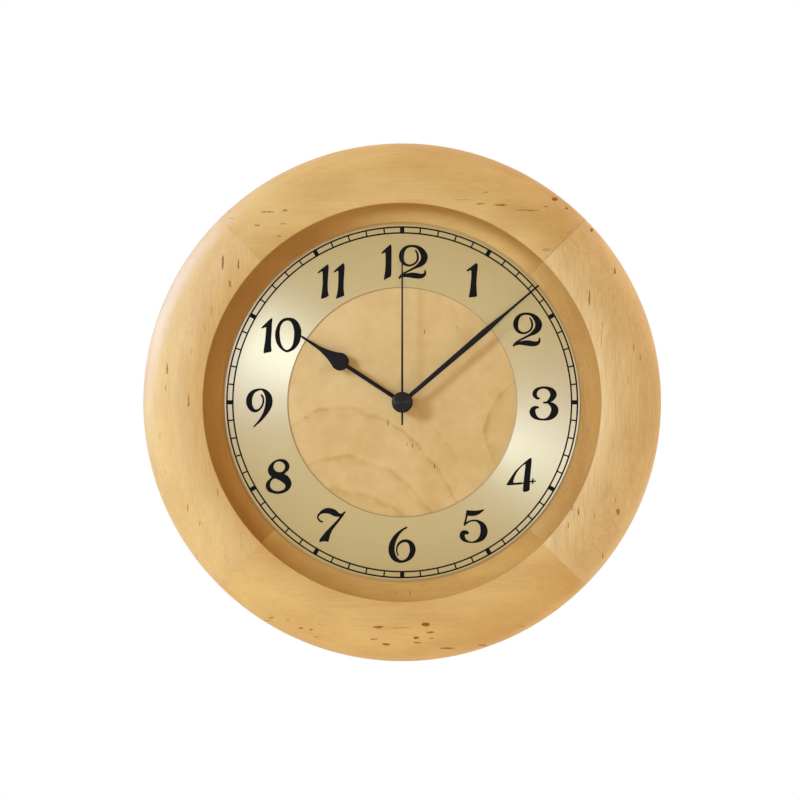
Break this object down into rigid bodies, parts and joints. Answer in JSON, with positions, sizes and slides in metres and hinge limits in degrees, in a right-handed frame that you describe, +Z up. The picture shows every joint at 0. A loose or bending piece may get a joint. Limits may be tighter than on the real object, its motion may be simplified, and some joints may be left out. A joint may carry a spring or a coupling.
{
  "type": "wall clock",
  "caption": "Round wooden wall clock with a deep turned frame, a metal chapter ring on a wood dial, black hands, and a battery quartz movement behind.",
  "frame": {"origin": "top of the keyhole slot's seat, on the wall plane, where the wall nail carries the clock", "axes": "+Z up, +Y towards the wall, front of the dial towards -Y, +X to the right as seen from the front"},
  "size_m": [0.3, 0.042, 0.3],
  "materials": {
    "frame_wood": "clear satin lacquer on beech, grain along each segment",
    "dowel_wood": "birch, sealed matt",
    "dial_metal": "champagne, turned finish",
    "hand_black": "satin black",
    "brass": "plain turned",
    "steel": "zinc plated",
    "case_plastic": "fine texture",
    "wheel_plastic": "natural acetal",
    "washer_rubber": "matt",
    "coil_copper": "enamelled copper wire",
    "circuit_board": "green solder mask",
    "cell_sleeve": "bare grey sleeve",
    "magnet": "sintered"
  },
  "bodies": {
    "clock_body": {"frame_segment_top": "frame_wood", "frame_segment_right": "frame_wood", "frame_segment_bottom": "frame_wood", "frame_segment_left": "frame_wood", "mitre_dowel_ne": "dowel_wood", "mitre_dowel_se": "dowel_wood", "mitre_dowel_sw": "dowel_wood", "mitre_dowel_nw": "dowel_wood", "dial_board": "dowel_wood", "dial_ring": "dial_metal", "threaded_bush": "brass", "fixing_washer": "brass", "fixing_nut": "brass", "hanger_plate": "steel", "hanger_screw_left": "steel", "hanger_screw_right": "steel", "dial_clip_1": "steel", "dial_clip_2": "steel", "dial_clip_3": "steel", "dial_clip_screw_1": "steel", "dial_clip_screw_2": "steel", "dial_clip_screw_3": "steel", "battery_contact_plus": "steel", "battery_contact_minus": "steel", "quartz_crystal": "steel", "stator": "steel", "coil_core": "steel", "movement_case": "case_plastic", "movement_cover": "case_plastic", "driver_chip": "case_plastic", "train_plate": "wheel_plastic", "coil_bobbin": "wheel_plastic", "rubber_washer": "washer_rubber", "coil_winding": "coil_copper", "circuit_board": "circuit_board", "battery_cell": "cell_sleeve"},
    "seconds_arbor": {"seconds_wheel": "wheel_plastic", "seconds_shaft": "steel", "second_hand": "hand_black", "second_hand_cap": "hand_black"},
    "intermediate": {"intermediate_wheel": "wheel_plastic"},
    "rotor": {"rotor_magnet": "magnet", "rotor_pinion": "wheel_plastic"},
    "third": {"third_wheel": "wheel_plastic"},
    "centre": {"centre_wheel": "wheel_plastic"},
    "minute_group": {"minute_arbor": "brass", "minute_hand": "hand_black", "minute_hand_collet": "hand_black"},
    "minute_wheel_body": {"minute_wheel": "wheel_plastic"},
    "hour_group": {"hour_wheel": "wheel_plastic", "hour_hand": "hand_black", "hour_hand_collet": "hand_black"},
    "setting": {"setting_knob": "case_plastic"}
  },
  "joints": [
    {"name": "second_hand_turn", "type": "hinge", "parent": "clock_body", "child": "seconds_arbor", "pos_m": [0, -0.034, -0.135], "axis": [0, 1, 0], "continuous": true},
    {"name": "intermediate_turn", "type": "hinge", "parent": "clock_body", "child": "intermediate", "pos_m": [0.00679, -0.008, -0.12821], "axis": [0, 1, 0], "continuous": true},
    {"name": "rotor_turn", "type": "hinge", "parent": "clock_body", "child": "rotor", "pos_m": [0.01468, -0.008, -0.12534], "axis": [0, 1, 0], "continuous": true},
    {"name": "third_turn", "type": "hinge", "parent": "clock_body", "child": "third", "pos_m": [-0.00929, -0.008, -0.13336], "axis": [0, 1, 0], "continuous": true},
    {"name": "centre_turn", "type": "hinge", "parent": "clock_body", "child": "centre", "pos_m": [0, -0.009, -0.135], "axis": [0, 1, 0], "continuous": true},
    {"name": "minute_hand_turn", "type": "hinge", "parent": "clock_body", "child": "minute_group", "pos_m": [0, -0.032, -0.135], "axis": [0, 1, 0], "continuous": true},
    {"name": "minute_wheel_turn", "type": "hinge", "parent": "clock_body", "child": "minute_wheel_body", "pos_m": [-0.00771, -0.012, -0.12581], "axis": [0, 1, 0], "continuous": true},
    {"name": "hour_hand_turn", "type": "hinge", "parent": "clock_body", "child": "hour_group", "pos_m": [0, -0.03, -0.135], "axis": [0, 1, 0], "continuous": true},
    {"name": "setting_knob_turn", "type": "hinge", "parent": "clock_body", "child": "setting", "pos_m": [-0.01341, -0.008, -0.11593], "axis": [0, 1, 0], "continuous": true}
  ],
  "couplings": [
    {"joint": "intermediate_turn", "follows": "second_hand_turn", "ratio": -5},
    {"joint": "rotor_turn", "follows": "second_hand_turn", "ratio": 30},
    {"joint": "third_turn", "follows": "second_hand_turn", "ratio": -0.13333},
    {"joint": "centre_turn", "follows": "second_hand_turn", "ratio": 0.016667},
    {"joint": "minute_wheel_turn", "follows": "minute_hand_turn", "ratio": -0.33333},
    {"joint": "hour_hand_turn", "follows": "minute_hand_turn", "ratio": 0.083333},
    {"joint": "setting_knob_turn", "follows": "minute_hand_turn", "ratio": 1.25}
  ]
}
